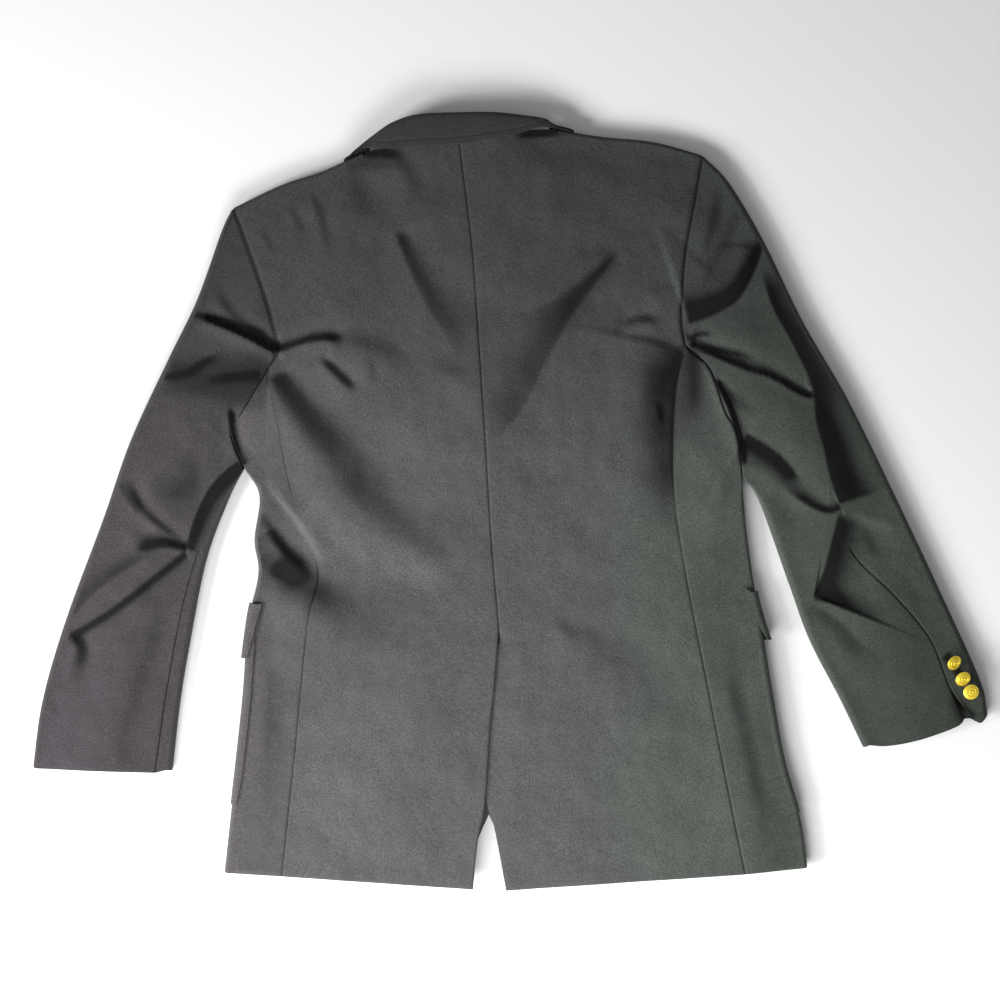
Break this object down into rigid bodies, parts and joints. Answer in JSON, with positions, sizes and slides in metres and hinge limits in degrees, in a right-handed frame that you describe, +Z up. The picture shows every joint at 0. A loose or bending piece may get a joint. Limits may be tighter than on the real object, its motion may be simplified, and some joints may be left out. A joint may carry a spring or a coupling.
{
  "type": "double-breasted blazer laid flat with its back up",
  "caption": "Tailored double-breasted blazer with patch pockets and a centre vent, laid flat on its front with its back up.",
  "frame": {"origin": "middle of the garment's outline in plan, on the surface that it lies on", "axes": "+X to the viewer's right with the back seen from above, +Y up the back towards the collar, +Z up away from the surface"},
  "size_m": [0.9556, 0.777, 0.0283],
  "materials": {
    "cloth": "matte napped wool",
    "buttons": "polished with a darkened rim"
  },
  "bodies": {
    "root": {"back_left": "cloth", "back_right": "cloth", "side_left": "cloth", "side_right": "cloth", "front_left": "cloth", "front_right": "cloth", "lapel_left": "cloth", "lapel_right": "cloth", "upper_collar": "cloth", "collar_stand": "cloth", "sleeve_top_left": "cloth", "sleeve_under_left": "cloth", "sleeve_top_right": "cloth", "sleeve_under_right": "cloth", "pocket_left": "cloth", "pocket_right": "cloth", "flap_left": "cloth", "flap_right": "cloth", "cuff_button_right_1": "buttons", "cuff_button_right_2": "buttons", "cuff_button_right_3": "buttons", "cuff_button_left_1": "buttons", "cuff_button_left_2": "buttons", "cuff_button_left_3": "buttons", "front_button_1": "buttons", "front_button_2": "buttons", "front_button_3": "buttons", "front_button_4": "buttons", "front_button_5": "buttons", "front_button_6": "buttons"}
  },
  "joints": []
}
